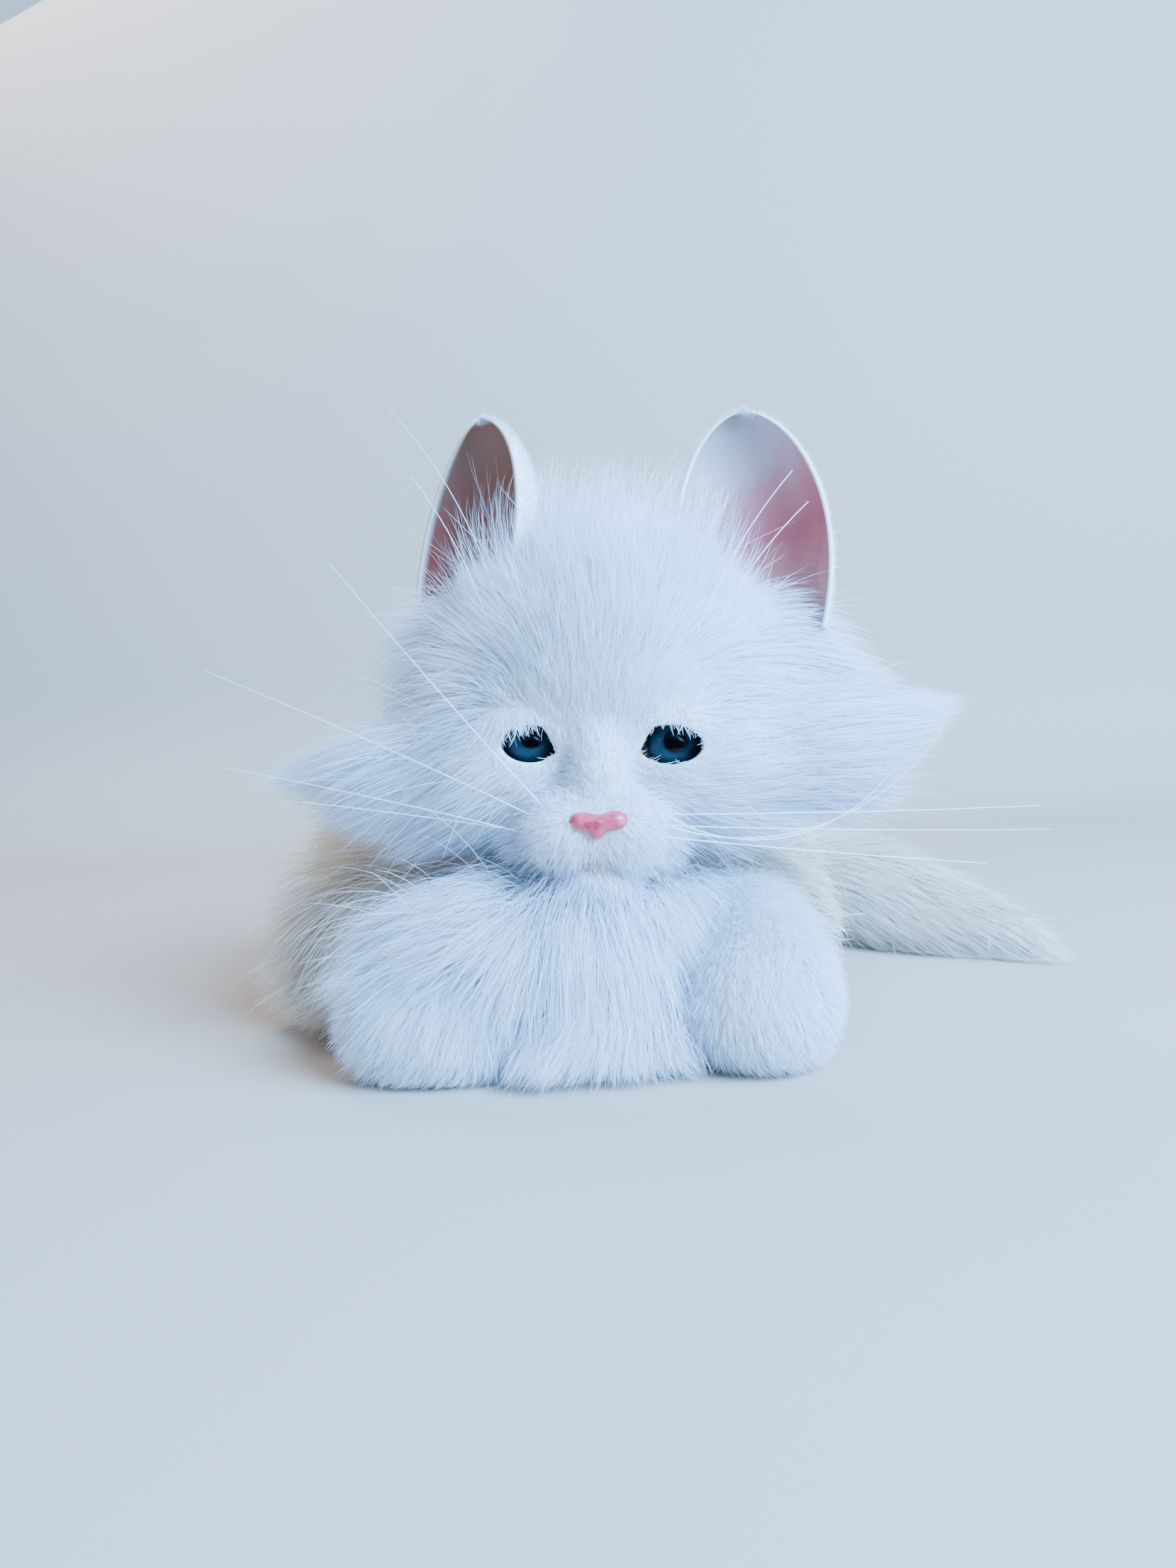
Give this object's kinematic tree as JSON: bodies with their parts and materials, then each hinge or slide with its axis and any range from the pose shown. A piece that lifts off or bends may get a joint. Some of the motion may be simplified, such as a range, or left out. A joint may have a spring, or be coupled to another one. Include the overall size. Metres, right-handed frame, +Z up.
{
  "type": "interactive plush pet",
  "caption": "Lying long-haired white toy cat with moulded pink-lined ears, blue eyes, nylon whiskers and a motor-driven head, lids, jaw, front leg and tail on a battery-powered base.",
  "frame": {"origin": "middle of the front part of the flat plastic underside, on the surface that the pet lies on", "axes": "+Z up, the cat faces -Y, +X towards its left side, which is the viewer's right"},
  "size_m": [0.2902, 0.2127, 0.2007],
  "materials": {
    "white_shell": "fine moulded texture",
    "grey_plastic": "moulded",
    "switch_knob": "ribbed",
    "steel": "bright zinc",
    "brass": "cut",
    "cell_wrap": "printed sleeve, no text",
    "speaker_paper": "pressed paper",
    "board": "solder mask",
    "chip": "moulded epoxy",
    "gear_nylon": "nylon",
    "eye": "clear dome over a blue iris",
    "eyelid": "flocked",
    "mouth": "soft vinyl",
    "nose": "soft gloss",
    "ear_vinyl": "soft vinyl, sprayed pink inside, flocked outside",
    "bristle": "clear nylon",
    "long_fur": "long pile fur",
    "short_fur": "short pile fur"
  },
  "bodies": {
    "body": {"chassis_lower": "white_shell", "chassis_upper": "white_shell", "chassis_screws": "steel", "battery_cells": "cell_wrap", "battery_contacts": "steel", "battery_springs": "steel", "power_switch_body": "grey_plastic", "speaker_frame": "grey_plastic", "speaker_cone": "speaker_paper", "circuit_board": "board", "circuit_chips": "chip", "drive_motor": "steel", "gear_axles": "steel", "gear_plates": "steel", "gear_spacers": "steel", "neck_bush": "grey_plastic", "back_touch_housing": "grey_plastic", "body_plush": "long_fur", "chest_plush": "long_fur", "paw_left_plush": "short_fur", "tail_bracket": "white_shell", "tail_pin": "steel"},
    "neck": {"neck_post": "white_shell", "neck_clip": "steel", "neck_pin": "steel"},
    "head": {"head_bracket": "white_shell", "head_shell_front": "white_shell", "head_shell_rear": "white_shell", "head_screws": "steel", "eye_frame": "white_shell", "eye_left": "eye", "eye_right": "eye", "jaw_pin": "steel", "nose": "nose", "ear_left": "ear_vinyl", "ear_right": "ear_vinyl", "whiskers_left": "bristle", "whiskers_right": "bristle", "brow_whiskers": "bristle", "head_plush": "long_fur", "head_touch_housing": "grey_plastic"},
    "lid_left": {"eyelid_left": "eyelid"},
    "lid_right": {"eyelid_right": "eyelid"},
    "jaw_body": {"jaw": "mouth", "chin_plush": "short_fur"},
    "head_button": {"head_touch_plunger": "grey_plastic"},
    "back_button": {"back_touch_plunger": "grey_plastic"},
    "front_leg": {"leg_axle": "steel", "leg_lever": "white_shell", "leg_clip": "steel", "leg_plush": "short_fur"},
    "tail": {"tail_core": "white_shell", "tail_plush": "long_fur"},
    "crank": {"crank_gear": "gear_nylon"},
    "reduction": {"reduction_gear": "gear_nylon"},
    "rotor": {"motor_shaft": "steel", "motor_pinion": "brass"},
    "switch": {"power_switch_knob": "switch_knob"},
    "battery_cover": {"battery_door": "white_shell", "battery_door_screw": "steel"}
  },
  "joints": [
    {"name": "neck_pan", "type": "hinge", "parent": "body", "child": "neck", "pos_m": [0.005, -0.018, 0.08], "axis": [0, 0, 1], "range_deg": [-20, 20]},
    {"name": "head_nod", "type": "hinge", "parent": "neck", "child": "head", "pos_m": [0.005, -0.018, 0.08], "axis": [1, 0, 0], "range_deg": [-8, 5]},
    {"name": "lid_left_close", "type": "hinge", "parent": "head", "child": "lid_left", "pos_m": [-0.01759, -0.05387, 0.0961], "axis": [0.9973, -0.0523, -0.0523], "range_deg": [0, 62]},
    {"name": "lid_right_close", "type": "hinge", "parent": "head", "child": "lid_right", "pos_m": [0.02529, -0.05611, 0.09385], "axis": [0.9973, -0.0523, -0.0523], "range_deg": [0, 62]},
    {"name": "jaw_open", "type": "hinge", "parent": "head", "child": "jaw_body", "pos_m": [0.00301, -0.04393, 0.06802], "axis": [0.9973, -0.0523, -0.0523], "range_deg": [0, 9], "stiffness_Nm_per_rad": 0.02, "springref_deg": -11.46},
    {"name": "head_touch_press", "type": "slide", "parent": "head", "child": "head_button", "axis": [-0.0523, 0.0027, -0.9986], "range_m": [0, 0.002], "stiffness_N_per_m": 300, "springref_m": -0.0005},
    {"name": "back_touch_press", "type": "slide", "parent": "body", "child": "back_button", "axis": [0, 0, -1], "range_m": [0, 0.002], "stiffness_N_per_m": 300, "springref_m": -0.0005},
    {"name": "leg_lift", "type": "hinge", "parent": "body", "child": "front_leg", "pos_m": [0.046, -0.03, 0.034], "axis": [-1, 0, 0], "range_deg": [0, 12]},
    {"name": "tail_swish", "type": "hinge", "parent": "body", "child": "tail", "pos_m": [0.048, 0.101, 0.021], "axis": [0, 0, 1], "range_deg": [-3, 12]},
    {"name": "crank_turn", "type": "hinge", "parent": "body", "child": "crank", "pos_m": [0, 0.05184, 0.039], "axis": [1, 0, 0], "continuous": true},
    {"name": "reduction_turn", "type": "hinge", "parent": "body", "child": "reduction", "pos_m": [0, 0.03352, 0.039], "axis": [1, 0, 0], "continuous": true},
    {"name": "rotor_turn", "type": "hinge", "parent": "body", "child": "rotor", "pos_m": [0, 0.018, 0.039], "axis": [1, 0, 0], "continuous": true},
    {"name": "power_slide", "type": "slide", "parent": "body", "child": "switch", "axis": [0, 1, 0], "range_m": [0, 0.004]},
    {"name": "battery_cover_open", "type": "hinge", "parent": "body", "child": "battery_cover", "pos_m": [0, 0.00625, 0.0013], "axis": [-1, 0, 0], "range_deg": [0, 85]}
  ],
  "couplings": [
    {"joint": "lid_right_close", "follows": "lid_left_close", "ratio": 1},
    {"joint": "reduction_turn", "follows": "crank_turn", "ratio": -3.3333},
    {"joint": "rotor_turn", "follows": "crank_turn", "ratio": 11.333}
  ]
}
